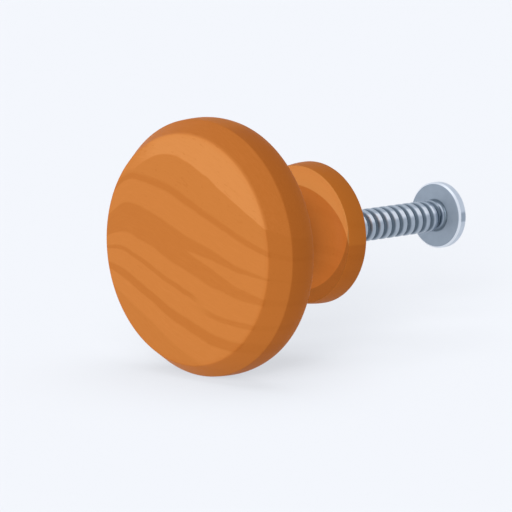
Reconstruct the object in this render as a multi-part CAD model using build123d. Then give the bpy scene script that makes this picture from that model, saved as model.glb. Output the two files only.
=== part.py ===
from build123d import *
import math
import os

# A turned wooden cabinet knob with its mounting screw.
# Millimetres. The turning axis is Y: the grip's face looks along -Y and the screw leaves along +Y.
# The origin is on the axis, in the flat base that bears on the drawer front. +Z is up.

# Grip, the wide mushroom head that the fingers hold
GRIP_DIAMETER = 38.0
KNOB_PROJECTION = 28.6
FACE_CROWN = 1.1
FACE_EDGE_INSET = 2.1
FACE_EDGE_ROUND = 0.5
SHOULDER_DEPTH = 3.0
SHOULDER_INSET = 0.15
SHOULDER_ROUND = 0.5
SIDE_DEPTH = 4.8
BACK_EDGE_INSET = 0.5
BACK_EDGE_ROUND = 0.6
BACK_LIP_WIDTH = 1.8

# Neck and base collar
NECK_DIAMETER = 12.8
NECK_LENGTH = 1.6
COLLAR_DIAMETER = 21.6
COLLAR_COVE_LENGTH = 3.9
COLLAR_RIM_INSET = 0.4
COLLAR_RIM_DEPTH = 3.9
COLLAR_EDGE_ROUND = 0.2
COLLAR_BACK_BEVEL = 0.45

# Screw
SHANK_DIAMETER = 5.0
SHANK_LENGTH = 35.2
THREAD_PITCH = 1.8
THREAD_DEPTH = 0.5
THREAD_CREST_WIDTH = 0.65
THREAD_ROOT_WIDTH = 0.5
THREAD_SINK = 0.15
TIP_BEVEL = 1.0
UNDER_HEAD_RELIEF = 0.3
SEAT_CLEARANCE = 0.06
HEAD_DIAMETER = 10.4
HEAD_EDGE_THICKNESS = 1.7
HEAD_BEVEL = 0.3
HEAD_CROWN = 0.6
RECESS_SPAN = 4.8
RECESS_SLOT = 1.15
RECESS_DEPTH = 2.1
RECESS_END_SPAN = 1.9
RECESS_END_SLOT = 0.75

# Length of the shank left outside the base when the screw stands as pictured
EXPOSED_LENGTH = 27.2

# Threaded insert and the hole that holds it
INSERT_DIAMETER = 7.5
INSERT_LENGTH = 10.0
INSERT_RECESS = 0.3
INSERT_BEVEL = 0.4
BARB_COUNT = 4
BARB_GROOVE_WIDTH = 1.2
BARB_GROOVE_DEPTH = 0.35
THREAD_CLEARANCE = 0.06
PILOT_CLEARANCE = 0.4
BORE_DEPTH = 18.0
DRILL_POINT_ANGLE = 118.0

# Sizes worked out from the ones above
GRIP_RADIUS = GRIP_DIAMETER / 2
FACE_EDGE_RADIUS = GRIP_RADIUS - FACE_EDGE_INSET
NECK_RADIUS = NECK_DIAMETER / 2
COLLAR_RADIUS = COLLAR_DIAMETER / 2
CREST_RADIUS = SHANK_DIAMETER / 2
ROOT_RADIUS = CREST_RADIUS - THREAD_DEPTH
UNDER_HEAD_FILLET = THREAD_DEPTH + SEAT_CLEARANCE
HEAD_RADIUS = HEAD_DIAMETER / 2
INSERT_RADIUS = INSERT_DIAMETER / 2
INSERT_BORE_RADIUS = CREST_RADIUS + THREAD_CLEARANCE
PILOT_RADIUS = CREST_RADIUS + PILOT_CLEARANCE
TIP_Y = EXPOSED_LENGTH - SHANK_LENGTH


def turned(outline):
    """Revolve a closed half outline, x as the radius, about the knob's axis."""
    return revolve(outline, Axis.Y)


def turned_points(*points):
    """The same for an outline of straight lines, given as (radius, y) points."""
    return turned(make_face(Polyline(*points, close=True)))


def rounded(outline, corners):
    """Round the outline's corners, given as (point, radius) pairs."""
    for point, radius in corners:
        nearest = outline.vertices().sort_by_distance(point)[0]
        outline = fillet(nearest, radius)
    return outline


def knob_outline():
    """The turner's profile: crowned face, shoulder, side, hollowed back, neck, cove and collar."""
    face_centre = (0, -KNOB_PROJECTION)
    face_edge = (FACE_EDGE_RADIUS, face_centre[1] + FACE_CROWN)
    shoulder = (GRIP_RADIUS - SHOULDER_INSET, face_edge[1] + SHOULDER_DEPTH)
    back_edge = (GRIP_RADIUS - BACK_EDGE_INSET, shoulder[1] + SIDE_DEPTH)
    widest = (GRIP_RADIUS, (shoulder[1] + back_edge[1]) / 2)
    back_lip = (back_edge[0] - BACK_LIP_WIDTH, back_edge[1])

    collar_back = (COLLAR_RADIUS - COLLAR_BACK_BEVEL, 0)
    collar_rim = (COLLAR_RADIUS, -COLLAR_BACK_BEVEL)
    crease = (COLLAR_RADIUS - COLLAR_RIM_INSET, -COLLAR_RIM_DEPTH)
    neck_back = (NECK_RADIUS, crease[1] - COLLAR_COVE_LENGTH)
    neck_front = (NECK_RADIUS, neck_back[1] - NECK_LENGTH)

    edges = [
        TangentArc(face_centre, face_edge, tangent=(1, 0)),
        Line(face_edge, shoulder),
        TangentArc(widest, shoulder, tangent=(0, -1)),
        TangentArc(widest, back_edge, tangent=(0, 1)),
        Line(back_edge, back_lip),
        TangentArc(neck_front, back_lip, tangent=(0, -1)),
        Line(neck_front, neck_back),
        TangentArc(neck_back, crease, tangent=(0, 1)),
        TangentArc(collar_rim, crease, tangent=(0, -1)),
        Line(collar_rim, collar_back),
        Line(collar_back, (0, 0)),
        Line((0, 0), face_centre),
    ]
    outline = make_face(Curve() + edges)
    return rounded(
        outline,
        [
            (face_edge, FACE_EDGE_ROUND),
            (shoulder, SHOULDER_ROUND),
            (back_edge, BACK_EDGE_ROUND),
            (crease, COLLAR_EDGE_ROUND),
        ],
    )


def blind_bore():
    """The drilled hole: a seat for the insert, then a pilot for the shank, ending in a drill point."""
    seat_end = -(INSERT_RECESS + INSERT_LENGTH)
    point_depth = PILOT_RADIUS / math.tan(math.radians(DRILL_POINT_ANGLE / 2))
    return turned_points(
        (0, 0),
        (INSERT_RADIUS, 0),
        (INSERT_RADIUS, seat_end),
        (PILOT_RADIUS, seat_end),
        (PILOT_RADIUS, -BORE_DEPTH),
        (0, -BORE_DEPTH - point_depth),
    )


def knob_body():
    return turned(knob_outline()) - blind_bore()


def threaded_insert():
    """A bush with barbed rings outside. Its bore clears the screw's crests, with no inner thread cut."""
    mouth = -INSERT_RECESS
    inner_end = mouth - INSERT_LENGTH
    points = [
        (INSERT_BORE_RADIUS, inner_end),
        (INSERT_RADIUS - INSERT_BEVEL, inner_end),
        (INSERT_RADIUS, inner_end + INSERT_BEVEL),
    ]
    barb_step = (INSERT_LENGTH - 2 * INSERT_BEVEL) / BARB_COUNT
    for barb in range(1, BARB_COUNT):
        ledge = inner_end + INSERT_BEVEL + barb * barb_step
        points.append((INSERT_RADIUS, ledge - BARB_GROOVE_WIDTH))
        points.append((INSERT_RADIUS - BARB_GROOVE_DEPTH, ledge - BARB_GROOVE_WIDTH))
        points.append((INSERT_RADIUS, ledge))
    points.append((INSERT_RADIUS, mouth))
    points.append((INSERT_BORE_RADIUS + INSERT_BEVEL, mouth))
    points.append((INSERT_BORE_RADIUS, mouth - INSERT_BEVEL))
    return turned_points(*points)


def thread_ridge(start, turns):
    """A right-hand helical ridge about the axis, turn by turn, its foot sunk a little into the core."""
    flank = (THREAD_PITCH - THREAD_CREST_WIDTH - THREAD_ROOT_WIDTH) / 2
    foot_radius = ROOT_RADIUS - THREAD_SINK
    half_crest = THREAD_CREST_WIDTH / 2
    half_foot = half_crest + flank * (THREAD_DEPTH + THREAD_SINK) / THREAD_DEPTH
    section = [
        (foot_radius, -half_foot),
        (CREST_RADIUS, -half_crest),
        (CREST_RADIUS, half_crest),
        (foot_radius, half_foot),
    ]
    along_axis = (0, 1, 0)
    faces = []
    for turn in range(turns):
        helices = []
        for radius, offset in section:
            centre = (0, start + turn * THREAD_PITCH + offset, 0)
            helix = Edge.make_helix(THREAD_PITCH, THREAD_PITCH, radius, center=centre, normal=along_axis)
            helices.append(helix)
        for index, helix in enumerate(helices):
            following = helices[(index + 1) % len(helices)]
            faces.append(Face.make_surface_from_curves(helix, following))
        if turn == 0:
            faces.append(Face(Wire.make_polygon([helix @ 0 for helix in helices], close=True)))
        if turn == turns - 1:
            faces.append(Face(Wire.make_polygon([helix @ 1 for helix in helices], close=True)))
    return Solid(Shell(faces))


def under_head_relief(thread_end):
    """The plain stretch between thread and head. Its fillet ends outside the crests on the seat."""
    fillet_start = EXPOSED_LENGTH - UNDER_HEAD_FILLET
    fillet_end = (ROOT_RADIUS + UNDER_HEAD_FILLET, EXPOSED_LENGTH)
    edges = [
        Line((0, thread_end), (ROOT_RADIUS, thread_end)),
        Line((ROOT_RADIUS, thread_end), (ROOT_RADIUS, fillet_start)),
        TangentArc((ROOT_RADIUS, fillet_start), fillet_end, tangent=(0, 1)),
        Line(fillet_end, (0, EXPOSED_LENGTH)),
        Line((0, EXPOSED_LENGTH), (0, thread_end)),
    ]
    return turned(make_face(Curve() + edges))


def threaded_shank():
    """Core and helical ridge, trimmed to a bevelled tip and to the relief under the head."""
    thread_end = EXPOSED_LENGTH - UNDER_HEAD_FILLET - UNDER_HEAD_RELIEF
    ridge_start = TIP_Y - THREAD_PITCH
    turns = math.ceil((thread_end - ridge_start) / THREAD_PITCH) + 1
    ridge = thread_ridge(ridge_start, turns)
    clear_radius = CREST_RADIUS + THREAD_DEPTH
    envelope = turned_points(
        (0, TIP_Y),
        (CREST_RADIUS - TIP_BEVEL, TIP_Y),
        (clear_radius, TIP_Y + TIP_BEVEL + THREAD_DEPTH),
        (clear_radius, thread_end),
        (0, thread_end),
    )
    core = Cylinder(ROOT_RADIUS, thread_end - ridge_start)
    core = core.rotate(Axis.X, 90).translate((0, (ridge_start + thread_end) / 2, 0))
    return ((core + ridge) & envelope) + under_head_relief(thread_end)


def screw_head():
    """A wide thin disc, flat towards the knob, with a bevelled edge and a low crown behind."""
    seat = EXPOSED_LENGTH
    edge_back = seat + HEAD_EDGE_THICKNESS
    crown_top = (0, edge_back + HEAD_CROWN)
    rim_back = (HEAD_RADIUS - HEAD_BEVEL, edge_back)
    edges = [
        Line((0, seat), (HEAD_RADIUS - HEAD_BEVEL, seat)),
        Line((HEAD_RADIUS - HEAD_BEVEL, seat), (HEAD_RADIUS, seat + HEAD_BEVEL)),
        Line((HEAD_RADIUS, seat + HEAD_BEVEL), (HEAD_RADIUS, edge_back - HEAD_BEVEL)),
        Line((HEAD_RADIUS, edge_back - HEAD_BEVEL), rim_back),
        TangentArc(crown_top, rim_back, tangent=(1, 0)),
        Line(crown_top, (0, seat)),
    ]
    return turned(make_face(Curve() + edges))


def cross_recess():
    """Two crossed slots that narrow towards their bottom, cut in the crown of the head."""
    top = EXPOSED_LENGTH + HEAD_EDGE_THICKNESS + HEAD_CROWN
    mouth = Plane(origin=(0, top, 0), x_dir=(1, 0, 0), z_dir=(0, -1, 0))
    slot = loft(
        [
            mouth * Rectangle(RECESS_SPAN, RECESS_SLOT),
            mouth.offset(RECESS_DEPTH) * Rectangle(RECESS_END_SPAN, RECESS_END_SLOT),
        ]
    )
    return slot + slot.rotate(Axis.Y, 90)


def mounting_screw():
    return threaded_shank() + screw_head() - cross_recess()


PIECES = {
    "knob_body": knob_body,
    "threaded_insert": threaded_insert,
    "mounting_screw": mounting_screw,
}

os.makedirs("parts", exist_ok=True)
for name, make in PIECES.items():
    piece = make()
    piece.label = name
    export_step(piece, f"parts/{name}.step")
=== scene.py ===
import math

import bmesh
import bpy
from mathutils import Matrix, Vector


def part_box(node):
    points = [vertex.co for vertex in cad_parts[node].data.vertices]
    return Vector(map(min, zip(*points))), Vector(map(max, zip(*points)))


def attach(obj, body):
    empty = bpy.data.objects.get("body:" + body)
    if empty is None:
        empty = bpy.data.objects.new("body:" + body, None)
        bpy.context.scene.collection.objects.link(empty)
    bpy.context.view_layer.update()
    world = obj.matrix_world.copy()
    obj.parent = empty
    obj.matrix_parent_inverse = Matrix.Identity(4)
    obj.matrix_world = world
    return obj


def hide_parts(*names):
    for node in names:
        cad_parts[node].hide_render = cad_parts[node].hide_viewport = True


# A turned wooden cabinet knob with its mounting screw.
# Metres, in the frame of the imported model: the turning axis is Y, the grip's face looks along -Y,
# the screw leaves along +Y, +Z is up, and the origin is in the base that bears on the drawer front.

MM = 0.001

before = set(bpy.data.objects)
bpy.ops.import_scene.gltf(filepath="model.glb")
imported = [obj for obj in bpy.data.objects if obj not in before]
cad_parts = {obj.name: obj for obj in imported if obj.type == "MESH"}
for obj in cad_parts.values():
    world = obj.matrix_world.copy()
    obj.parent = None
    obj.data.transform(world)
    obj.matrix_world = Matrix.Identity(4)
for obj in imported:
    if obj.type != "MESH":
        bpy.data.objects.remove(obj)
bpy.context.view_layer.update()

GRIP_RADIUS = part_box("knob_body")[1].x
FACE_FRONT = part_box("knob_body")[0].y
SCREW_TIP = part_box("mounting_screw")[0].y
HEAD_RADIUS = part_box("mounting_screw")[1].x
INSERT_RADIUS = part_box("threaded_insert")[1].x
INSERT_INNER_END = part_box("threaded_insert")[0].y
INSERT_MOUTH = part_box("threaded_insert")[1].y

# Grip
FACE_CROWN = 1.1 * MM
FACE_EDGE_INSET = 2.1 * MM
FACE_EDGE_ROUND = 0.5 * MM
SHOULDER_DEPTH = 3.0 * MM
SHOULDER_INSET = 0.15 * MM
SHOULDER_ROUND = 0.5 * MM
SIDE_DEPTH = 4.8 * MM
BACK_EDGE_INSET = 0.5 * MM
BACK_EDGE_ROUND = 0.6 * MM
BACK_LIP_WIDTH = 1.8 * MM
BACK_LIP_ROUND = 0.5 * MM

# Neck, base collar and bore
NECK_RADIUS = 6.4 * MM
NECK_LENGTH = 1.6 * MM
COLLAR_RADIUS = 10.8 * MM
COLLAR_COVE_LENGTH = 3.9 * MM
COLLAR_RIM_INSET = 0.4 * MM
COLLAR_RIM_DEPTH = 3.9 * MM
COLLAR_EDGE_ROUND = 0.2 * MM
COLLAR_BACK_BEVEL = 0.45 * MM
COLLAR_BACK_ROUND = 0.15 * MM
PILOT_RADIUS = 2.9 * MM
BORE_DEPTH = 18.0 * MM
DRILL_POINT_DEPTH = 1.74 * MM

# Screw
SEAT = 27.2 * MM
CREST_RADIUS = 2.5 * MM
THREAD_DEPTH = 0.5 * MM
THREAD_PITCH = 1.8 * MM
THREAD_CREST_WIDTH = 0.65 * MM
THREAD_ROOT_WIDTH = 0.5 * MM
THREAD_ROUND = 0.14 * MM
THREAD_RUNOUT_SLOPE = 1.4
TIP_BEVEL = 1.0 * MM
UNDER_HEAD_FILLET = THREAD_DEPTH + 0.06 * MM
UNDER_HEAD_RELIEF = 0.3 * MM
HEAD_EDGE_THICKNESS = 1.7 * MM
HEAD_BEVEL = 0.3 * MM
HEAD_BEVEL_ROUND = 0.05 * MM
HEAD_CROWN = 0.6 * MM
RECESS_SPAN = 4.8 * MM
RECESS_SLOT = 1.15 * MM
RECESS_DEPTH = 2.1 * MM
RECESS_END_SPAN = 1.9 * MM
RECESS_END_SLOT = 0.75 * MM

# Insert
INSERT_BEVEL = 0.4 * MM
INSERT_BORE_RADIUS = CREST_RADIUS + 0.06 * MM
BARB_COUNT = 4
BARB_GROOVE_WIDTH = 1.2 * MM
BARB_GROOVE_DEPTH = 0.35 * MM

# Camera, fitted to the outlines in the picture, which is IMAGE_SIZE pixels wide and high
IMAGE_SIZE = 512
SENSOR_WIDTH = 36.0
FOCAL_PIXELS = 3000.0
CAMERA_AZIMUTH = math.radians(44.8)
CAMERA_ELEVATION = math.radians(8.33)
CAMERA_DISTANCE = 454.47 * MM
ORIGIN_PIXEL = (315.86, 231.98)

# Light. A lamp has a name, a direction, a strength and a softness. The floor lamps light the floor alone.
KEY_LAMP = ("key", (0.0, -1.0, 0.04), 0.44, math.radians(20))
TOP_LAMP = ("top", (0.1, -0.15, 1.0), 0.08, math.radians(55))
FLOOR_LAMPS = (
    ("floor_top", (-0.102, 0.14, 0.985), 2.3, math.radians(68)),
    ("floor_front", (0.498, -0.686, 0.53), 1.58, math.radians(30)),
    ("floor_low", (0.57, -0.785, 0.242), 5.0, math.radians(20)),
)
AMBIENT = 0.52

# Floor. It glows with FLOOR_GLOW for what looks at it, and with FLOOR_BOUNCE as light for the pieces.
FLOOR_SIZE = 8.0
FLOOR_ALBEDO = 0.07
FLOOR_GLOW = 0.653
FLOOR_BOUNCE = 0.358

# Meshes
LATHE_SEGMENTS = 256
THREAD_SEGMENTS = 96
SMOOTH_ANGLE = math.radians(28)
SAME_POINT = 1e-8


def srgb(red, green, blue):
    """A colour given as 0 to 255 in sRGB, as the linear colour that a shader takes."""
    linear = []
    for channel in (red, green, blue):
        c = channel / 255
        linear.append(c / 12.92 if c <= 0.04045 else ((c + 0.055) / 1.055) ** 2.4)
    return (*linear, 1.0)


# The colour of floor and backdrop
PALE = srgb(244, 247, 253)


# Outlines are lists of (radius, y) points

def arc(start, end, tangent, steps=16):
    """Points from start to end on the arc that leaves start along tangent."""
    start = Vector(start)
    chord = Vector(end) - start
    direction = Vector(tangent).normalized()
    cross = direction.x * chord.y - direction.y * chord.x
    half_turn = math.atan2(cross, direction.dot(chord))
    diameter = chord.length / math.sin(half_turn)
    points = []
    for step in range(steps + 1):
        angle = half_turn * step / steps
        along = Vector((
            direction.x * math.cos(angle) - direction.y * math.sin(angle),
            direction.x * math.sin(angle) + direction.y * math.cos(angle),
        ))
        points.append(start + along * diameter * math.sin(angle))
    return points


def joined(*stretches):
    """One outline from stretches that meet end to end."""
    points = []
    for stretch in stretches:
        for point in stretch:
            if not points or (Vector(point) - points[-1]).length > SAME_POINT:
                points.append(Vector(point))
    return points


def shortened(points, distance):
    """The outline without its first stretch of that length."""
    points = list(points)
    while (points[1] - points[0]).length <= distance:
        distance -= (points[1] - points[0]).length
        points.pop(0)
    share = distance / (points[1] - points[0]).length
    return [points[0].lerp(points[1], share)] + points[1:]


def rounded(points, corners, steps=6):
    """The outline with corners rounded, given as (point, radius) pairs."""
    for corner, radius in corners:
        corner = Vector(corner)
        index = min(range(len(points)), key=lambda i: (points[i] - corner).length)
        arriving = points[index] - points[index - 1]
        leaving = points[index + 1] - points[index]
        setback = radius * math.tan(arriving.angle(leaving) / 2)
        before = shortened(points[:index + 1][::-1], setback)[::-1]
        after = shortened(points[index:], setback)
        curve = []
        for step in range(1, steps):
            t = step / steps
            curve.append(before[-1].lerp(corner, t).lerp(corner.lerp(after[0], t), t))
        points = before + curve + after
    return points


# Meshes

def finished(name, mesh_data, material, body, node):
    """The mesh as a piece that rides on a body and stands for a CAD node."""
    bmesh.ops.recalc_face_normals(mesh_data, faces=mesh_data.faces)
    mesh = bpy.data.meshes.new(name)
    mesh_data.to_mesh(mesh)
    mesh_data.free()
    for polygon in mesh.polygons:
        polygon.use_smooth = True
    mesh.set_sharp_from_angle(angle=SMOOTH_ANGLE)
    mesh.materials.append(material)
    piece = bpy.data.objects.new(name, mesh)
    bpy.context.scene.collection.objects.link(piece)
    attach(piece, body)
    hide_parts(node)
    return piece


def bridge(mesh_data, ring, following):
    """Faces between two rings. A ring of one vertex is a point on the axis and makes triangles."""
    count = max(len(ring), len(following))
    for i in range(count):
        j = (i + 1) % count
        corners = [
            ring[i % len(ring)],
            ring[j % len(ring)],
            following[j % len(following)],
            following[i % len(following)],
        ]
        without_repeats = list(dict.fromkeys(corners))
        mesh_data.faces.new(without_repeats)


def lathe(mesh_data, points, angles, first_ring=None, closed=False):
    """Turns the outline about the Y axis, with one column of vertices at each angle."""
    rings = [first_ring] if first_ring else []
    for radius, y in points:
        if radius < SAME_POINT:
            places = [(0, y, 0)]
        else:
            places = [(radius * math.sin(angle), y, radius * math.cos(angle)) for angle in angles]
        rings.append([mesh_data.verts.new(place) for place in places])
    for ring, following in zip(rings, rings[1:]):
        bridge(mesh_data, ring, following)
    if closed:
        bridge(mesh_data, rings[-1], rings[0])


def even_angles(count):
    return [2 * math.pi * i / count for i in range(count)]


# Knob body

def knob_outline():
    """The turner's profile from the middle of the face to the middle of the drilled hole's end."""
    face_centre = (0, FACE_FRONT)
    face_edge = (GRIP_RADIUS - FACE_EDGE_INSET, FACE_FRONT + FACE_CROWN)
    shoulder = (GRIP_RADIUS - SHOULDER_INSET, face_edge[1] + SHOULDER_DEPTH)
    back_edge = (GRIP_RADIUS - BACK_EDGE_INSET, shoulder[1] + SIDE_DEPTH)
    widest = (GRIP_RADIUS, (shoulder[1] + back_edge[1]) / 2)
    back_lip = (back_edge[0] - BACK_LIP_WIDTH, back_edge[1])
    collar_back = (COLLAR_RADIUS - COLLAR_BACK_BEVEL, 0)
    collar_rim = (COLLAR_RADIUS, -COLLAR_BACK_BEVEL)
    crease = (COLLAR_RADIUS - COLLAR_RIM_INSET, -COLLAR_RIM_DEPTH)
    neck_back = (NECK_RADIUS, crease[1] - COLLAR_COVE_LENGTH)
    neck_front = (NECK_RADIUS, neck_back[1] - NECK_LENGTH)
    outline = joined(
        arc(face_centre, face_edge, (1, 0), steps=24),
        [face_edge, shoulder],
        arc(widest, shoulder, (0, -1), steps=8)[::-1],
        arc(widest, back_edge, (0, 1), steps=8),
        [back_edge, back_lip],
        arc(neck_front, back_lip, (0, -1), steps=24)[::-1],
        [neck_front, neck_back],
        arc(neck_back, crease, (0, 1), steps=14),
        arc(collar_rim, crease, (0, -1), steps=10)[::-1],
        [collar_rim, collar_back, (INSERT_RADIUS, 0)],
        [(INSERT_RADIUS, INSERT_INNER_END), (PILOT_RADIUS, INSERT_INNER_END)],
        [(PILOT_RADIUS, -BORE_DEPTH), (0, -BORE_DEPTH - DRILL_POINT_DEPTH)],
    )
    return rounded(
        outline,
        [
            (face_edge, FACE_EDGE_ROUND),
            (shoulder, SHOULDER_ROUND),
            (back_edge, BACK_EDGE_ROUND),
            (back_lip, BACK_LIP_ROUND),
            (crease, COLLAR_EDGE_ROUND),
            (collar_rim, COLLAR_BACK_ROUND),
            (collar_back, COLLAR_BACK_ROUND),
        ],
    )


def knob_body(material):
    mesh_data = bmesh.new()
    lathe(mesh_data, knob_outline(), even_angles(LATHE_SEGMENTS))
    return finished("turned_knob", mesh_data, material, "knob", "knob_body")


# Insert

def threaded_insert(material):
    """The brass bush in the hole, with barbed rings outside and a bevelled mouth."""
    points = [
        Vector((INSERT_BORE_RADIUS, INSERT_INNER_END)),
        Vector((INSERT_RADIUS - INSERT_BEVEL, INSERT_INNER_END)),
        Vector((INSERT_RADIUS, INSERT_INNER_END + INSERT_BEVEL)),
    ]
    barb_step = (INSERT_MOUTH - INSERT_INNER_END - 2 * INSERT_BEVEL) / BARB_COUNT
    for barb in range(1, BARB_COUNT):
        ledge = INSERT_INNER_END + INSERT_BEVEL + barb * barb_step
        points.append(Vector((INSERT_RADIUS, ledge - BARB_GROOVE_WIDTH)))
        points.append(Vector((INSERT_RADIUS - BARB_GROOVE_DEPTH, ledge - BARB_GROOVE_WIDTH)))
        points.append(Vector((INSERT_RADIUS, ledge)))
    points.append(Vector((INSERT_RADIUS, INSERT_MOUTH)))
    points.append(Vector((INSERT_BORE_RADIUS + INSERT_BEVEL, INSERT_MOUTH)))
    points.append(Vector((INSERT_BORE_RADIUS, INSERT_MOUTH - INSERT_BEVEL)))
    mesh_data = bmesh.new()
    lathe(mesh_data, points, even_angles(THREAD_SEGMENTS), closed=True)
    return finished("brass_insert", mesh_data, material, "knob", "threaded_insert")


# Screw

ROOT_RADIUS = CREST_RADIUS - THREAD_DEPTH
THREAD_END = SEAT - UNDER_HEAD_FILLET - UNDER_HEAD_RELIEF


def thread_section():
    """One pitch of the thread as (radius, y) points, from the middle of a crest to the next one's."""
    half_crest = THREAD_CREST_WIDTH / 2
    flank = (THREAD_PITCH - THREAD_CREST_WIDTH - THREAD_ROOT_WIDTH) / 2
    corners = [
        (CREST_RADIUS, half_crest),
        (ROOT_RADIUS, half_crest + flank),
        (ROOT_RADIUS, half_crest + flank + THREAD_ROOT_WIDTH),
        (CREST_RADIUS, THREAD_PITCH - half_crest),
    ]
    section = joined([(CREST_RADIUS, 0)], corners, [(CREST_RADIUS, THREAD_PITCH)])
    return rounded(section, [(corner, THREAD_ROUND) for corner in corners], steps=4)


def thread_envelope(y):
    """The largest radius that the shank has there: a bevelled tip and a run-out below the head."""
    tip = CREST_RADIUS - TIP_BEVEL + (y - SCREW_TIP)
    runout = ROOT_RADIUS + max(0.0, THREAD_END - y) * THREAD_RUNOUT_SLOPE
    return max(CREST_RADIUS - TIP_BEVEL, min(tip, runout))


def threaded_shank(mesh_data):
    """A lattice that follows the helix, cut flat at both ends. Returns the ring of vertices at the head."""
    section = thread_section()[:-1]
    start = SCREW_TIP - THREAD_PITCH
    columns = math.ceil((THREAD_END + THREAD_PITCH - start) / THREAD_PITCH * THREAD_SEGMENTS)
    lattice = []
    for i in range(columns + THREAD_SEGMENTS + 1):
        angle = 2 * math.pi * i / THREAD_SEGMENTS
        column = []
        for radius, offset in section:
            y = start + THREAD_PITCH * i / THREAD_SEGMENTS + offset
            r = min(radius, thread_envelope(y))
            column.append(mesh_data.verts.new((r * math.sin(angle), y, r * math.cos(angle))))
        lattice.append(column)
    for i in range(columns):
        here = lattice[i] + [lattice[i + THREAD_SEGMENTS][0]]
        beside = lattice[i + 1] + [lattice[i + 1 + THREAD_SEGMENTS][0]]
        for j in range(len(section)):
            mesh_data.faces.new((here[j], here[j + 1], beside[j + 1], beside[j]))
    loose = [vertex for vertex in mesh_data.verts if not vertex.link_faces]
    bmesh.ops.delete(mesh_data, geom=loose, context="VERTS")
    for y, side in ((SCREW_TIP, -1), (THREAD_END, 1)):
        everything = mesh_data.verts[:] + mesh_data.edges[:] + mesh_data.faces[:]
        bmesh.ops.bisect_plane(
            mesh_data,
            geom=everything,
            dist=SAME_POINT,
            plane_co=(0, y, 0),
            plane_no=(0, side, 0),
            clear_outer=True,
        )
    ends = [vertex for vertex in mesh_data.verts if vertex.is_boundary]
    ends.sort(key=lambda vertex: math.atan2(vertex.co.x, vertex.co.z))
    tip_ring = [vertex for vertex in ends if vertex.co.y < 0]
    head_ring = [vertex for vertex in ends if vertex.co.y > 0]
    bridge(mesh_data, tip_ring, [mesh_data.verts.new((0, SCREW_TIP, 0))])
    return head_ring


def head_outline():
    """From the thread's end over the fillet, the flat seat, the bevelled edge and the crown to the axis."""
    fillet_start = (ROOT_RADIUS, SEAT - UNDER_HEAD_FILLET)
    fillet_end = (ROOT_RADIUS + UNDER_HEAD_FILLET, SEAT)
    edge_back = SEAT + HEAD_EDGE_THICKNESS
    corners = [
        (HEAD_RADIUS - HEAD_BEVEL, SEAT),
        (HEAD_RADIUS, SEAT + HEAD_BEVEL),
        (HEAD_RADIUS, edge_back - HEAD_BEVEL),
        (HEAD_RADIUS - HEAD_BEVEL, edge_back),
    ]
    outline = joined(
        arc(fillet_start, fillet_end, (0, 1), steps=6),
        corners,
        arc((0, edge_back + HEAD_CROWN), corners[-1], (1, 0), steps=16)[::-1],
    )
    return rounded(outline, [(corner, HEAD_BEVEL_ROUND) for corner in corners], steps=3)


def recess_cutters():
    """Two crossed blocks that narrow towards the bottom of the recess."""
    top = SEAT + HEAD_EDGE_THICKNESS + HEAD_CROWN
    # The blocks stick out of the head by this share of the recess's depth
    margin = 0.5
    depth_levels = ((-margin * RECESS_DEPTH, 1 + margin), (RECESS_DEPTH, 0))
    cutters = []
    for turn in (0, math.pi / 2):
        mesh_data = bmesh.new()
        for depth, widening in depth_levels:
            span = RECESS_END_SPAN + (RECESS_SPAN - RECESS_END_SPAN) * widening
            slot = RECESS_END_SLOT + (RECESS_SLOT - RECESS_END_SLOT) * widening
            for x, z in ((1, 1), (1, -1), (-1, -1), (-1, 1)):
                mesh_data.verts.new((x * span / 2, top - depth, z * slot / 2))
        bmesh.ops.convex_hull(mesh_data, input=mesh_data.verts)
        bmesh.ops.rotate(mesh_data, verts=mesh_data.verts, matrix=Matrix.Rotation(turn, 3, "Y"))
        mesh = bpy.data.meshes.new("recess_cutter")
        mesh_data.to_mesh(mesh)
        mesh_data.free()
        cutter = bpy.data.objects.new("recess_cutter", mesh)
        bpy.context.scene.collection.objects.link(cutter)
        cutters.append(cutter)
    return cutters


def cut(piece, cutter):
    """Takes the cutter's solid out of the piece's mesh and deletes the cutter."""
    modifier = piece.modifiers.new("recess", "BOOLEAN")
    modifier.operation = "DIFFERENCE"
    modifier.solver = "EXACT"
    modifier.object = cutter
    bpy.context.view_layer.update()
    evaluated = piece.evaluated_get(bpy.context.evaluated_depsgraph_get())
    mesh = bpy.data.meshes.new_from_object(evaluated)
    piece.modifiers.clear()
    piece.data = mesh
    bpy.data.objects.remove(cutter)


def mounting_screw(material):
    mesh_data = bmesh.new()
    head_ring = threaded_shank(mesh_data)
    angles = [math.atan2(vertex.co.x, vertex.co.z) for vertex in head_ring]
    lathe(mesh_data, head_outline(), angles, first_ring=head_ring)
    piece = finished("steel_screw", mesh_data, material, "screw", "mounting_screw")
    for cutter in recess_cutters():
        cut(piece, cutter)
    return piece


# Materials

PLAIN_TINT = (1.0, 1.0, 1.0, 1.0)


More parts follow.
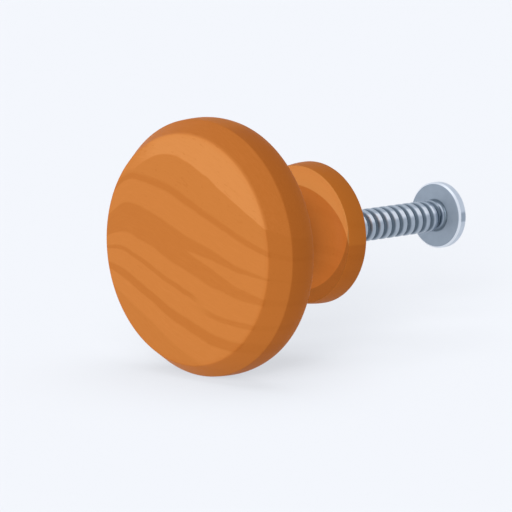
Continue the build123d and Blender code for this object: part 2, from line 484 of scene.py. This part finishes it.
class Nodes:
    """Adds nodes to a material and joins them."""

    def __init__(self, name):
        self.material = bpy.data.materials.new(name)
        self.material.use_nodes = True
        self.tree = self.material.node_tree
        self.shader = self.tree.nodes["Principled BSDF"]

    def add(self, kind, **settings):
        node = self.tree.nodes.new(kind)
        for name, value in settings.items():
            setattr(node, name, value)
        return node

    def feed(self, socket, value):
        """Joins an output to the socket, or sets the socket to a plain value."""
        if isinstance(value, bpy.types.NodeSocket):
            self.tree.links.new(value, socket)
        else:
            socket.default_value = value

    def math(self, operation, *values, clamp=False):
        node = self.add("ShaderNodeMath", operation=operation, use_clamp=clamp)
        for socket, value in zip(node.inputs, values):
            self.feed(socket, value)
        return node.outputs[0]

    def product(self, *values):
        """All the values multiplied."""
        result = values[0]
        for value in values[1:]:
            result = self.math("MULTIPLY", result, value)
        return result

    def total(self, *values):
        """All the values added."""
        result = values[0]
        for value in values[1:]:
            result = self.math("ADD", result, value)
        return result

    def difference(self, value, less):
        return self.math("SUBTRACT", value, less)

    def excess(self, value, limit):
        """How far the value is over the limit, or 0."""
        return self.math("MAXIMUM", self.difference(value, limit), 0.0)

    def distance(self, x, z):
        """The length of the vector (x, z)."""
        return self.math("SQRT", self.total(self.product(x, x), self.product(z, z)))

    def spread(self, share, low, high):
        """A mix that is low where the share is 0 and high where it is 1."""
        return self.math("MULTIPLY_ADD", share, high - low, low)

    def swing(self, noise, amount):
        """The noise as a change to both sides of 0."""
        return self.product(self.difference(noise, 0.5), amount)

    def place(self):
        """The position in the piece, in millimetres, as a vector and as x, y and z."""
        scaled = self.add("ShaderNodeVectorMath", operation="SCALE")
        self.tree.links.new(self.add("ShaderNodeTexCoord").outputs["Object"], scaled.inputs[0])
        scaled.inputs["Scale"].default_value = 1 / MM
        parts = self.add("ShaderNodeSeparateXYZ")
        self.tree.links.new(scaled.outputs[0], parts.inputs[0])
        return scaled.outputs[0], *parts.outputs

    def vector(self, x, y, z):
        node = self.add("ShaderNodeCombineXYZ")
        for socket, value in zip(node.inputs, (x, y, z)):
            self.feed(socket, value)
        return node.outputs[0]

    def noise(self, vector, scale, detail=2.0, roughness=0.5):
        node = self.add("ShaderNodeTexNoise")
        self.tree.links.new(vector, node.inputs["Vector"])
        node.inputs["Scale"].default_value = scale
        node.inputs["Detail"].default_value = detail
        node.inputs["Roughness"].default_value = roughness
        return node.outputs["Fac"]

    def between(self, value, low, high, out_low=0.0, out_high=1.0):
        """Maps low..high to out_low..out_high with a smooth step, and holds it outside."""
        node = self.add("ShaderNodeMapRange", interpolation_type="SMOOTHSTEP")
        settings = {"Value": value, "From Min": low, "From Max": high, "To Min": out_low, "To Max": out_high}
        for name, number in settings.items():
            self.feed(node.inputs[name], number)
        return node.outputs[0]

    def band(self, value, rise, fall):
        """0 up to the rise, 1 from there to the fall, and 0 after it."""
        return self.product(self.between(value, *rise), self.between(value, *fall, 1.0, 0.0))

    def ramp(self, value, stops):
        """A colour ramp from (position, colour) stops. A colour may be one grey number."""
        node = self.add("ShaderNodeValToRGB")
        self.tree.links.new(value, node.inputs[0])
        elements = node.color_ramp.elements
        while len(elements) < len(stops):
            elements.new(0.5)
        for element, (position, colour) in zip(elements, stops):
            element.position = position
            element.color = colour if isinstance(colour, tuple) else (colour, colour, colour, 1)
        return node.outputs["Color"]

    def tinted(self, colour, tint):
        """The colour times the tint, channel by channel."""
        node = self.add("ShaderNodeVectorMath", operation="MULTIPLY")
        self.feed(node.inputs[0], colour)
        self.feed(node.inputs[1], tint)
        return node.outputs[0]

    def tinted_where(self, colour, place, tint):
        """The colour with the tint where place is 1 and without it where place is 0."""
        return self.tinted(colour, self.ramp(place, ((0.0, PLAIN_TINT), (1.0, tint))))

    def bump(self, height, distance, strength):
        node = self.add("ShaderNodeBump")
        self.tree.links.new(height, node.inputs["Height"])
        node.inputs["Distance"].default_value = distance
        node.inputs["Strength"].default_value = strength
        self.tree.links.new(node.outputs[0], self.shader.inputs["Normal"])

    def finish(self, **sockets):
        """Sets or joins the shader's sockets, such as base_color=... for Base Color."""
        names = {socket.name.lower().replace(" ", "_"): socket for socket in self.shader.inputs}
        for name, value in sockets.items():
            self.feed(names[name], value)
        return self.material


# Wood. In the materials lengths are in mm. Tones go from 0, the darkest streak, to 1, the palest wood.

WOOD_TONES = (
    (0.0, srgb(198, 118, 52)),
    (0.36, srgb(205, 126, 59)),
    (0.62, srgb(208, 128, 61)),
    (1.0, srgb(220, 142, 76)),
)
WOOD_ROUGHNESS = (0.44, 0.56)
WOOD_SHINE = 0.04

# The grain height follows the streaks: the height above the axis, bent by these values. Slope, arch
# and droop are shares of the reach, and the hook turns the streaks down at the face's left end.
GRAIN_REACH = 17.0
GRAIN_SLOPE = 0.38
GRAIN_ARCH = 0.41
GRAIN_DROOP = -0.12
GRAIN_LEAN = 0.05
GRAIN_SWING = 1.6
GRAIN_SWING_SCALE = 0.11
HOOK_START = -10.5
HOOK_CURL = 0.075
HOOK_CURL_PER_MM_UP = 0.011

# The zones across the face, each with its upper end as a grain height and its tone
GRAIN_EDGE = 0.22
GRAIN_ZONES = (
    (-14.8, 0.26),
    (-11.2, 0.62),
    (-9.4, 0.0),
    (-2.4, 0.6),
    (3.1, 0.05),
    (7.45, 0.6),
    (8.6, 0.0),
    (GRAIN_REACH, 0.36),
)

# A painted highlight: the pale crescent along the face's upper edge, shaped by the grain. Its lower end is
# PALE_START as a grain height, comes down to both sides of the middle as far as PALE_LOWEST, and it fades to
# the left.
PALE_START = 13.3
HIGHLIGHT_TONE = 0.64
PALE_LEFT = -1.0
PALE_LEFT_BEND = 0.045
PALE_RIGHT = 5.0
PALE_RIGHT_BEND = 0.08
PALE_LOWEST = (8.9, 9.5)
PALE_FADE = (-11.0, -5.0)
PALE_FADED = 0.5

# A pale wedge that opens to the right inside the broad dark streak
WEDGE_HEIGHT = 0.8
WEDGE_START = 1.0
WEDGE_SPREAD = 0.115
WEDGE_FADE = (0.8, 2.5)
WEDGE_TONE = 0.5

# Dark streaks on a part of the face: grain height, half width, the stretch of x over which they
# change, and how dark they are before and after it
SHORT_STREAKS = (
    (-5.6, 0.45, (1.5, 5.0), (0.55, 0.0)),
    (-6.55, 0.5, (2.0, 7.0), (0.0, 0.5)),
)

# Fibres and pores are noise that is drawn out along the streaks
STREAK_DIRECTION = (0.93, -0.37)
FIBRE_STRETCH = 0.12
FIBRE_SCALE = 3.4
FIBRE_TONE = 0.35
PORE_STRETCH = 0.35
PORE_SCALE = 2.6
PORE_LEVELS = (0.66, 0.74)
PORE_TONE = 0.18
PORE_RELIEF = 0.6

# Places along the axis, as distances from the base
KNOB_LENGTH = -FACE_FRONT / MM
FACE_EDGE = KNOB_LENGTH - FACE_CROWN / MM
SHOULDER_END = FACE_EDGE - SHOULDER_DEPTH / MM
CREASE = COLLAR_RIM_DEPTH / MM

# Beside the face the streaks are faint and near the middle tone
MIDDLE_TONE = 0.45
FAINT = 0.35
FAINT_BORDER = (FACE_EDGE - 0.5, FACE_EDGE - 0.05)

# Painted shade: darker, redder tints by distance from the base, on the collar's rim, on the cove as the
# grip's painted shadow, and on the shoulder and the side
SIDE_TINT = (0.94, 0.77, 0.5, 1.0)
RIM_TINT = (0.92, 0.77, 0.5, 1.0)
SHOULDER_TINT = (0.97, 0.87, 0.71, 1.0)
COVE_TINT = (0.93, 0.86, 0.72, 1.0)
COVE_BORDER = (CREASE - 0.12, CREASE - 0.08)
COVE_END = 9.4
COVE_FADE = 0.6
BACK_SHADE_BORDER = (11.5, 15.7)
SIDE_BORDER = (SHOULDER_END - 0.15, SHOULDER_END + 0.1)
FACE_BORDER = (FACE_EDGE - 0.1, FACE_EDGE + 0.05)
SHADE_TINT_ZONES = (
    (COVE_BORDER[0], RIM_TINT),
    (COVE_BORDER[1], COVE_TINT),
    (COVE_END, COVE_TINT),
    (BACK_SHADE_BORDER[0], SHOULDER_TINT),
    (BACK_SHADE_BORDER[1], SIDE_TINT),
    (SIDE_BORDER[0], SIDE_TINT),
    (SIDE_BORDER[1], SHOULDER_TINT),
    (FACE_BORDER[0], SHOULDER_TINT),
    (FACE_BORDER[1], PLAIN_TINT),
)

# Painted light and shade on the cove, bounded by circles that lie off the axis: height of the centre, radius
# and the tint outside. The first paints a lit crescent above the grip's painted shadow, the second paints
# shade on the lower part.
COVE_LIGHT_AND_SHADE_CIRCLES = (
    (-2.91, 10.65, (1.27, 1.65, 2.4, 1.0)),
    (1.86, 10.25, (0.72, 0.75, 0.75, 1.0)),
)
COVE_CIRCLE_BLEND = 0.07

# Painted light: the upper part of the collar's rim and the top of the side are paler
BASE_BORDER = (0.05, 0.15)
UPPER_RIM_LIGHT_TINT = (1.1, 1.16, 1.16, 1.0)
UPPER_RIM_BORDER = (-0.9, -0.5)
TOP_OF_SIDE_LIGHT_TINT = (1.14, 1.2, 1.0, 1.0)
TOP_OF_SIDE_BORDER = (GRIP_RADIUS / MM - 1.6, GRIP_RADIUS / MM - 0.5)


def grain_height(nodes, position, x, y, z):
    """The height that follows the streaks: it slopes, arches, droops, leans, swings and hooks."""
    across = nodes.product(x, 1 / GRAIN_REACH)
    up = nodes.product(z, 1 / GRAIN_REACH)
    slope = nodes.product(across, GRAIN_SLOPE)
    arch = nodes.product(across, across, up, GRAIN_ARCH)
    droop = nodes.product(up, nodes.math("ABSOLUTE", up), across, GRAIN_DROOP)
    height = nodes.product(nodes.total(up, slope, arch, droop), GRAIN_REACH)
    lean = nodes.product(nodes.total(y, KNOB_LENGTH), GRAIN_LEAN)
    swing = nodes.swing(nodes.noise(position, GRAIN_SWING_SCALE, detail=3.0), GRAIN_SWING)
    left = nodes.excess(HOOK_START, x)
    curl = nodes.math("MULTIPLY_ADD", z, HOOK_CURL_PER_MM_UP, HOOK_CURL)
    return nodes.total(height, swing, lean, nodes.product(left, left, curl))


def zone_stops():
    """The ramp's stops, two at each zone's edge."""
    stops = []
    low = -GRAIN_REACH
    for high, tone in GRAIN_ZONES:
        for edge in (low + GRAIN_EDGE, high - GRAIN_EDGE):
            stops.append(((edge + GRAIN_REACH) / (2 * GRAIN_REACH), tone))
        low = high
    return stops


def streak(nodes, height, middle, half_width):
    """1 inside a streak about that height, 0 outside. The half width may vary."""
    away = nodes.math("ABSOLUTE", nodes.difference(height, middle))
    return nodes.between(nodes.difference(half_width, away), -GRAIN_EDGE, GRAIN_EDGE)


def face_tone(nodes, x, height):
    """The tone of the zones, the painted highlight of the pale crescent, the wedge and the short streaks."""
    place_in_ramp = nodes.math("MULTIPLY_ADD", height, 0.5 / GRAIN_REACH, 0.5)
    tone = nodes.ramp(place_in_ramp, zone_stops())

    # The pale crescent is a painted highlight
    left = nodes.excess(PALE_LEFT, x)
    right = nodes.excess(x, PALE_RIGHT)
    left_bend = nodes.product(left, left, PALE_LEFT_BEND)
    pale_height = nodes.total(height, left_bend, nodes.product(right, PALE_RIGHT_BEND))
    pale = nodes.product(
        nodes.between(pale_height, PALE_START - GRAIN_EDGE, PALE_START + GRAIN_EDGE),
        nodes.between(height, *PALE_LOWEST),
        nodes.between(x, *PALE_FADE, PALE_FADED, 1.0),
    )
    tone = nodes.math("MULTIPLY_ADD", pale, HIGHLIGHT_TONE, tone)

    wedge_width = nodes.product(nodes.excess(x, WEDGE_START), WEDGE_SPREAD)
    wedge = nodes.product(streak(nodes, height, WEDGE_HEIGHT, wedge_width), nodes.between(x, *WEDGE_FADE))
    tone = nodes.math("MULTIPLY_ADD", wedge, WEDGE_TONE, tone)
    for middle, half_width, change, darkness in SHORT_STREAKS:
        strength = nodes.between(x, *change, *darkness)
        short = nodes.product(streak(nodes, height, middle, half_width), strength)
        tone = nodes.difference(tone, short)
    return tone


def along_grain(nodes, x, y, z, height, stretch):
    """A place for noise that is drawn out along the streaks."""
    along = nodes.total(nodes.product(x, STREAK_DIRECTION[0]), nodes.product(z, STREAK_DIRECTION[1]))
    return nodes.vector(nodes.product(along, stretch), y, height)


def painted_light_and_shade(nodes, colour, x, z, from_base):
    """The colour with painted shade on each stretch from base to face, painted light and shade on the cove,
    and painted light on the upper rim and the top of the side.
    """
    # Painted shade by distance from the base
    stops = [(distance / KNOB_LENGTH, tint) for distance, tint in SHADE_TINT_ZONES]
    share_of_length = nodes.product(from_base, 1 / KNOB_LENGTH)
    colour = nodes.tinted(colour, nodes.ramp(share_of_length, stops))

    in_cove = nodes.band(from_base, COVE_BORDER, (COVE_END, COVE_END + COVE_FADE))
    # A painted lit crescent on the upper part of the cove, and painted shade on its lower part
    for centre, circle_radius, tint in COVE_LIGHT_AND_SHADE_CIRCLES:
        away = nodes.distance(x, nodes.difference(z, centre))
        outside = nodes.between(away, circle_radius - COVE_CIRCLE_BLEND, circle_radius + COVE_CIRCLE_BLEND)
        colour = nodes.tinted_where(colour, nodes.product(in_cove, outside), tint)

    # Painted light on the upper part of the rim and on the top of the side
    on_rim = nodes.band(from_base, BASE_BORDER, COVE_BORDER)
    upper_rim = nodes.product(on_rim, nodes.between(z, *UPPER_RIM_BORDER))
    colour = nodes.tinted_where(colour, upper_rim, UPPER_RIM_LIGHT_TINT)

    on_side = nodes.band(from_base, BACK_SHADE_BORDER, SIDE_BORDER)
    top_of_side = nodes.product(on_side, nodes.between(z, *TOP_OF_SIDE_BORDER))
    return nodes.tinted_where(colour, top_of_side, TOP_OF_SIDE_LIGHT_TINT)


def turned_wood():
    """Orange-brown wood under a thin satin lacquer, its streaks drawn across the face."""
    nodes = Nodes("turned_wood")
    position, x, y, z = nodes.place()
    from_base = nodes.product(y, -1.0)
    height = grain_height(nodes, position, x, y, z)

    fibre_place = along_grain(nodes, x, y, z, height, FIBRE_STRETCH)
    fibres = nodes.noise(fibre_place, FIBRE_SCALE, detail=3.0, roughness=0.6)
    pore_place = along_grain(nodes, x, y, z, height, PORE_STRETCH)
    pores = nodes.between(nodes.noise(pore_place, PORE_SCALE, detail=1.0), *PORE_LEVELS)

    on_face = nodes.between(from_base, *FAINT_BORDER, FAINT, 1.0)
    from_middle = nodes.difference(face_tone(nodes, x, height), MIDDLE_TONE)
    tone = nodes.math("MULTIPLY_ADD", from_middle, on_face, MIDDLE_TONE)
    tone = nodes.total(tone, nodes.swing(fibres, FIBRE_TONE))
    tone = nodes.math("SUBTRACT", tone, nodes.product(pores, PORE_TONE), clamp=True)
    # Painted shade and painted light, placed on the knob
    colour = painted_light_and_shade(nodes, nodes.ramp(tone, WOOD_TONES), x, z, from_base)

    relief = nodes.difference(fibres, nodes.product(pores, PORE_RELIEF))
    nodes.bump(relief, distance=0.03 * MM, strength=0.25)
    roughness = nodes.spread(fibres, *WOOD_ROUGHNESS)
    return nodes.finish(base_color=colour, roughness=roughness, specular_ior_level=WOOD_SHINE)


# Steel. Tones go from 0, the painted shade in the thread's roots, to 1. The tones paint the steel's shade
# and highlights.

STEEL_TONES = (
    (0.0, srgb(94, 107, 119)),
    (0.5, srgb(150, 162, 175)),
    (0.75, srgb(184, 194, 206)),
    (1.0, srgb(222, 228, 236)),
)
STEEL_ROUGHNESS = (0.24, 0.4)
SEAT_ROUGHNESS_MORE = 0.25
STEEL_CLOUD_SCALE = 0.9
STEEL_CLOUD_TONE = 0.2
TURNING_MARK_SCALE = 9.0
TURNING_MARK_STRETCH = 0.3

# The thread: crests paler than the painted shade in the roots, with a painted highlight along their upper
# half
CREST_TONE = 0.58
CREST_HIGHLIGHT = 0.38
CREST_BORDER = (ROOT_RADIUS / MM + 0.2, CREST_RADIUS / MM - 0.05)
FILLET_BORDER = (THREAD_END / MM + 0.1, THREAD_END / MM + 0.3)
HIGHLIGHT_RISE = (0.4, 1.1)
HIGHLIGHT_FALL = (1.7, 2.1)

# The head: borders as distances past its seat, as radii and, for the painted shade patch on its edge, as
# heights
# The edge's paler tone is painted light, and the bevel's tone is a painted highlight
SEAT_TONE = 0.45
EDGE_TONE = 0.8
BEVEL_HIGHLIGHT = 0.5
EDGE_SHADE_DARKNESS = 0.3
SHANK_FALL = (-0.35, -0.05)
EDGE_RISE = (0.02, 0.1)
BEVEL_FALL = (0.3, 0.4)
SEAT_INNER_BORDER = (CREST_RADIUS / MM, CREST_RADIUS / MM + 0.2)
EDGE_BORDER = (HEAD_RADIUS / MM - 0.3, HEAD_RADIUS / MM - 0.2)
EDGE_SHADE_RISE = (-0.8, -0.4)
EDGE_SHADE_FALL = (0.6, 1.1)


def screw_steel():
    """Zinc-plated steel with painted shade and light: darker in the thread's roots, painted highlights on
    the crests and the bevel, a paler edge with a painted shade patch, and faint turning marks on the head.
    """
    nodes = Nodes("screw_steel")
    position, x, y, z = nodes.place()
    radius = nodes.distance(x, z)
    past_seat = nodes.difference(y, SEAT / MM)

    # Painted shade in the thread's roots, paler crests, and a painted highlight along their upper half
    crest = nodes.between(radius, *CREST_BORDER)
    crest = nodes.math("MAXIMUM", crest, nodes.between(y, *FILLET_BORDER))
    crest_highlight_band = nodes.band(z, HIGHLIGHT_RISE, HIGHLIGHT_FALL)
    crest_tone = nodes.math("MULTIPLY_ADD", crest_highlight_band, CREST_HIGHLIGHT, CREST_TONE)

    on_shank = nodes.between(past_seat, *SHANK_FALL, 1.0, 0.0)
    on_seat = nodes.band(past_seat, SHANK_FALL, EDGE_RISE)
    on_seat = nodes.product(on_seat, nodes.between(radius, *SEAT_INNER_BORDER))
    on_edge = nodes.between(past_seat, *EDGE_RISE)
    on_bevel = nodes.band(past_seat, EDGE_RISE, BEVEL_FALL)
    # A patch of painted shade on the head's edge
    edge_shade = nodes.product(nodes.band(z, EDGE_SHADE_RISE, EDGE_SHADE_FALL), nodes.between(radius, *EDGE_BORDER))
    edge_tone = nodes.difference(EDGE_TONE, nodes.product(edge_shade, EDGE_SHADE_DARKNESS))

    cloud = nodes.noise(position, STEEL_CLOUD_SCALE, detail=4.0)
    tone = nodes.total(
        nodes.product(on_shank, crest, crest_tone),
        nodes.product(on_seat, SEAT_TONE),
        nodes.product(on_edge, edge_tone),
        nodes.product(on_bevel, BEVEL_HIGHLIGHT),
    )
    tone = nodes.math("ADD", tone, nodes.swing(cloud, STEEL_CLOUD_TONE), clamp=True)
    colour = nodes.ramp(tone, STEEL_TONES)

    mark_place = nodes.vector(radius, 0.0, nodes.product(y, TURNING_MARK_STRETCH))
    nodes.bump(nodes.noise(mark_place, TURNING_MARK_SCALE), distance=0.02 * MM, strength=0.3)
    roughness = nodes.spread(cloud, *STEEL_ROUGHNESS)
    roughness = nodes.math("MULTIPLY_ADD", on_seat, SEAT_ROUGHNESS_MORE, roughness)
    return nodes.finish(base_color=colour, roughness=roughness, metallic=1.0)


# Brass

BRASS_TONES = (
    (0.3, srgb(206, 164, 92)),
    (0.7, srgb(226, 190, 120)),
)
BRASS_ROUGHNESS = (0.25, 0.4)
BRASS_CLOUD_SCALE = 1.1
BRASS_MARK_SCALE = 14.0


def insert_brass():
    """Plain machined brass with faint turning marks."""
    nodes = Nodes("insert_brass")
    position, _, y, _ = nodes.place()
    cloud = nodes.noise(position, BRASS_CLOUD_SCALE, detail=3.0)
    marks = nodes.noise(nodes.vector(0.0, y, 0.0), BRASS_MARK_SCALE, detail=1.0)
    nodes.bump(marks, distance=0.02 * MM, strength=0.3)
    roughness = nodes.spread(cloud, *BRASS_ROUGHNESS)
    return nodes.finish(base_color=nodes.ramp(cloud, BRASS_TONES), roughness=roughness, metallic=1.0)


# Floor, light and camera

def seen_directly(tree):
    """1 on rays from the camera, a mirror or through glass, 0 on rays that only bring light."""
    path = tree.nodes.new("ShaderNodeLightPath")
    total = path.outputs["Is Camera Ray"]
    for name in ("Is Glossy Ray", "Is Transmission Ray"):
        larger = tree.nodes.new("ShaderNodeMath")
        larger.operation = "MAXIMUM"
        tree.links.new(total, larger.inputs[0])
        tree.links.new(path.outputs[name], larger.inputs[1])
        total = larger.outputs[0]
    return total


def pale_floor():
    """A large plain floor that the grip's edge stands on. It glows a little, so that it looks pale."""
    material = bpy.data.materials.new("pale_floor")
    material.use_nodes = True
    tree = material.node_tree
    tree.nodes.clear()
    diffuse = tree.nodes.new("ShaderNodeBsdfDiffuse")
    diffuse.inputs["Color"].default_value = (*(FLOOR_ALBEDO * channel for channel in PALE[:3]), 1)
    glow = tree.nodes.new("ShaderNodeEmission")
    glow.inputs["Color"].default_value = PALE
    strength = tree.nodes.new("ShaderNodeMath")
    strength.operation = "MULTIPLY_ADD"
    strength.inputs[1].default_value = FLOOR_GLOW - FLOOR_BOUNCE
    strength.inputs[2].default_value = FLOOR_BOUNCE
    tree.links.new(seen_directly(tree), strength.inputs[0])
    tree.links.new(strength.outputs[0], glow.inputs["Strength"])
    both = tree.nodes.new("ShaderNodeAddShader")
    tree.links.new(diffuse.outputs[0], both.inputs[0])
    tree.links.new(glow.outputs[0], both.inputs[1])
    output = tree.nodes.new("ShaderNodeOutputMaterial")
    tree.links.new(both.outputs[0], output.inputs["Surface"])

    half = FLOOR_SIZE / 2
    plan = ((-half, -half), (half, -half), (half, half), (-half, half))
    mesh = bpy.data.meshes.new("floor")
    mesh.from_pydata([(x, y, -GRIP_RADIUS) for x, y in plan], [], [(0, 1, 2, 3)])
    mesh.materials.append(material)
    floor = bpy.data.objects.new("floor", mesh)
    bpy.context.scene.collection.objects.link(floor)
    return floor


def studio_world():
    """An even soft light, and a pale backdrop for what looks at it."""
    world = bpy.data.worlds.new("studio")
    bpy.context.scene.world = world
    world.use_nodes = True
    tree = world.node_tree
    tree.nodes.clear()
    light = tree.nodes.new("ShaderNodeBackground")
    light.inputs["Color"].default_value = (1, 1, 1, 1)
    light.inputs["Strength"].default_value = AMBIENT
    backdrop = tree.nodes.new("ShaderNodeBackground")
    backdrop.inputs["Color"].default_value = PALE
    choice = tree.nodes.new("ShaderNodeMixShader")
    tree.links.new(seen_directly(tree), choice.inputs[0])
    tree.links.new(light.outputs[0], choice.inputs[1])
    tree.links.new(backdrop.outputs[0], choice.inputs[2])
    output = tree.nodes.new("ShaderNodeOutputWorld")
    tree.links.new(choice.outputs[0], output.inputs["Surface"])


def sun(name, direction, strength, softness, shadow=True):
    """A far lamp that shines from the given direction. Strength 1 shows a colour as written."""
    data = bpy.data.lights.new(name, "SUN")
    data.energy = strength * math.pi
    data.angle = softness
    data.use_shadow = shadow
    lamp = bpy.data.objects.new(name, data)
    lamp.rotation_mode = "QUATERNION"
    lamp.rotation_quaternion = Vector(direction).to_track_quat("Z", "Y")
    bpy.context.scene.collection.objects.link(lamp)
    return lamp


def light_only(lamp, target):
    """The lamp lights the target alone, while everything still casts its shadow on it."""
    receivers = bpy.data.collections.new(lamp.name + "_receivers")
    receivers.objects.link(target)
    lamp.light_linking.receiver_collection = receivers


def camera():
    """The camera that the picture was drawn from. The origin falls on ORIGIN_PIXEL."""
    back = Vector((
        math.sin(CAMERA_AZIMUTH) * math.cos(CAMERA_ELEVATION),
        -math.cos(CAMERA_AZIMUTH) * math.cos(CAMERA_ELEVATION),
        math.sin(CAMERA_ELEVATION),
    ))
    right = Vector((math.cos(CAMERA_AZIMUTH), math.sin(CAMERA_AZIMUTH), 0))
    up = back.cross(right)
    metres_per_pixel = CAMERA_DISTANCE / FOCAL_PIXELS
    to_right = (ORIGIN_PIXEL[0] - IMAGE_SIZE / 2) * metres_per_pixel
    down = (ORIGIN_PIXEL[1] - IMAGE_SIZE / 2) * metres_per_pixel
    data = bpy.data.cameras.new("camera")
    data.sensor_width = SENSOR_WIDTH
    data.lens = FOCAL_PIXELS / IMAGE_SIZE * SENSOR_WIDTH
    eye = bpy.data.objects.new("camera", data)
    eye.location = back * CAMERA_DISTANCE - right * to_right + up * down
    eye.rotation_mode = "QUATERNION"
    eye.rotation_quaternion = Matrix((right, up, back)).transposed().to_quaternion()
    bpy.context.scene.collection.objects.link(eye)
    bpy.context.scene.camera = eye


camera()
studio_world()
floor = pale_floor()
sun(*KEY_LAMP, shadow=False)
sun(*TOP_LAMP)
for lamp in FLOOR_LAMPS:
    light_only(sun(*lamp), floor)
bpy.context.scene.view_settings.view_transform = "Standard"

knob_body(turned_wood())
threaded_insert(insert_brass())
mounting_screw(screw_steel())
